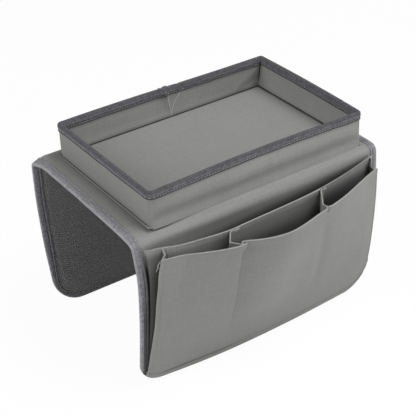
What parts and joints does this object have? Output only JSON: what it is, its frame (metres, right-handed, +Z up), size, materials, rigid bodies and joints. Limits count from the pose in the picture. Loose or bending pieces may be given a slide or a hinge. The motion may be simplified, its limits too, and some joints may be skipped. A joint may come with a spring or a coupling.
{
  "type": "sofa arm tray",
  "caption": "Grey cloth saddle for a sofa arm, with a boxed tray on top and a gusseted pocket in bays on its front flap.",
  "frame": {"origin": "on the ground that the two flaps stand on, under the middle of the whole outline's bounding box", "axes": "+X along the sofa arm, to the right seen from the pocket; -Y is the pocket side; +Z up"},
  "size_m": [0.33, 0.2916, 0.2454],
  "materials": {
    "cover_cloth": "plain-woven polyester cloth, mid grey",
    "binding_tape": "twill binding tape, darker purple grey",
    "grip_mesh": "non-slip knitted mesh, dark grey, rubber dots",
    "stiffener_board": "pressed board, hidden between the cloths"
  },
  "bodies": {
    "saddle_top": {"top_cover": "cover_cloth", "top_board": "stiffener_board", "top_liner": "grip_mesh", "top_binding_left": "binding_tape", "top_binding_right": "binding_tape", "front_shoulder_cover": "cover_cloth", "front_shoulder_liner": "grip_mesh", "front_shoulder_binding_left": "binding_tape", "front_shoulder_binding_right": "binding_tape", "rear_shoulder_cover": "cover_cloth", "rear_shoulder_liner": "grip_mesh", "rear_shoulder_binding_left": "binding_tape", "rear_shoulder_binding_right": "binding_tape", "tray_floor_board": "stiffener_board", "tray_floor_cloth": "cover_cloth", "tray_outer_band": "cover_cloth", "tray_inner_band": "cover_cloth", "tray_board_front": "stiffener_board", "tray_board_rear_left": "stiffener_board", "tray_board_rear_right": "stiffener_board", "tray_board_left": "stiffener_board", "tray_board_right": "stiffener_board", "tray_rim_binding": "binding_tape", "tray_foot_welt": "cover_cloth"},
    "front_flap": {"front_flap_cover": "cover_cloth", "front_flap_board": "stiffener_board", "front_flap_liner": "grip_mesh", "front_flap_binding": "binding_tape", "pocket_back_panel": "cover_cloth", "pocket_back_hem": "cover_cloth", "pocket_gusset_left": "cover_cloth", "pocket_gusset_right": "cover_cloth", "pocket_divider_left": "cover_cloth", "pocket_divider_right": "cover_cloth"},
    "pocket_front": {"pocket_front_panel": "cover_cloth", "pocket_front_hem": "cover_cloth"},
    "rear_flap": {"rear_flap_cover": "cover_cloth", "rear_flap_board": "stiffener_board", "rear_flap_liner": "grip_mesh", "rear_flap_binding": "binding_tape"}
  },
  "joints": [
    {"name": "front_flap_fold", "type": "hinge", "parent": "saddle_top", "child": "front_flap", "pos_m": [0, -0.07296, 0.194], "axis": [-1, 0, 0], "range_deg": [-24, 90], "deforming": ["front_shoulder_cover", "front_shoulder_liner", "front_shoulder_binding_left", "front_shoulder_binding_right"]},
    {"name": "rear_flap_fold", "type": "hinge", "parent": "saddle_top", "child": "rear_flap", "pos_m": [0, 0.13604, 0.194], "axis": [1, 0, 0], "range_deg": [-20, 90], "deforming": ["rear_shoulder_cover", "rear_shoulder_liner", "rear_shoulder_binding_left", "rear_shoulder_binding_right"]},
    {"name": "pocket_open", "type": "hinge", "parent": "front_flap", "child": "pocket_front", "pos_m": [0, -0.07706, 0.0113], "axis": [1, 0, 0], "range_deg": [-14, 0], "deforming": ["pocket_gusset_left", "pocket_gusset_right", "pocket_divider_left", "pocket_divider_right", "pocket_front_panel", "pocket_front_hem"]}
  ]
}
